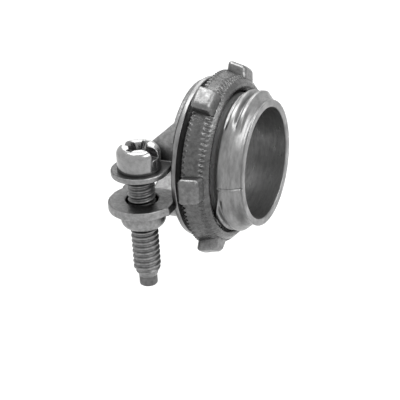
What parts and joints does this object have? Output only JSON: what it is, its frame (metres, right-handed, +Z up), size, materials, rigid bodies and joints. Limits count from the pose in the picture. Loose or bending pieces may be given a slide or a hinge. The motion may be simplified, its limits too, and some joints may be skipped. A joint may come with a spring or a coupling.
{
  "type": "conduit squeeze connector",
  "caption": "Die-cast squeeze connector for flexible conduit: threaded nipple with lugged locknut, thin flange, hinged clamp jaw drawn down on a cradle by a side screw.",
  "frame": {"origin": "on the nipple's axis, in the plane of the flange face that meets the box wall", "axes": "+X along the nipple, out of its mouth; +Z up along the clamp screw; the screw is on the -Y side"},
  "size_m": [0.0256, 0.0389, 0.0365],
  "materials": {
    "cast_body": "bare die-cast zinc, semi-gloss, mottled",
    "cast_jaw": "bare die-cast zinc, semi-gloss, mottled",
    "plated_screw": "zinc-plated steel, bright",
    "cast_locknut": "bare die-cast zinc, darker, mottled"
  },
  "bodies": {
    "body": {"connector_body": "cast_body"},
    "jaw": {"clamp_jaw": "cast_jaw"},
    "screw": {"clamp_screw": "plated_screw"},
    "nut": {"locknut": "cast_locknut"}
  },
  "joints": [
    {"name": "jaw_hinge", "type": "hinge", "parent": "body", "child": "jaw", "pos_m": [-0.0054, 0.01423, 0], "axis": [1, 0, 0], "range_deg": [0, 8.5]},
    {"name": "screw_drive", "type": "slide", "parent": "body", "child": "screw", "axis": [0, 0, -1], "range_m": [0, 0.0038]},
    {"name": "locknut_travel", "type": "slide", "parent": "body", "child": "nut", "axis": [-1, 0, 0], "range_m": [-0.005, 0.0015]}
  ],
  "couplings": [
    {"joint": "screw_drive", "follows": "jaw_hinge", "m_per_rad": 0.0251}
  ]
}
